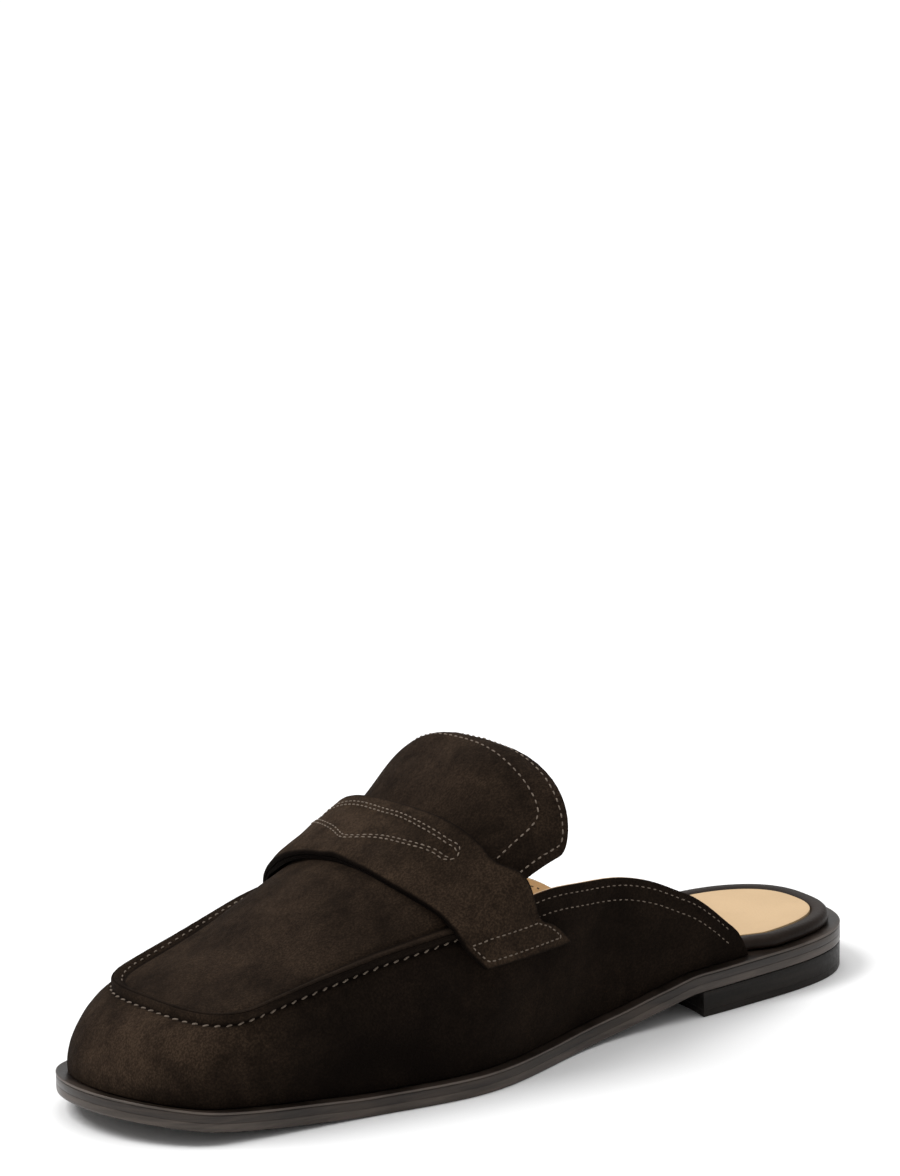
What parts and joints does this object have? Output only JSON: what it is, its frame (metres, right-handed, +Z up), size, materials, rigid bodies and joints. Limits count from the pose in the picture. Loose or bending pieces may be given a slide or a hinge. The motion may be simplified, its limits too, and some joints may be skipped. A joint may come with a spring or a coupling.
{
  "type": "flat mule shoe",
  "caption": "Backless slip-on shoe with a square apron toe, raised seam, tongue, saddle strap, low quarters and a low stacked heel.",
  "frame": {"origin": "on the floor, under the middle of the outline's length and width", "axes": "+X along the shoe towards the toe, +Y towards the outer side of the foot, +Z up"},
  "size_m": [0.2624, 0.0881, 0.0904],
  "materials": {
    "outsole": "satin",
    "heel_block": "satin",
    "footbed": "gloss",
    "sock_lining": "satin",
    "upper": "matte",
    "saddle_strap": "matte"
  },
  "bodies": {
    "root": {"outsole": "outsole", "heel_block": "heel_block", "footbed": "footbed", "sock_lining": "sock_lining", "upper": "upper", "saddle_strap": "saddle_strap"}
  },
  "joints": []
}
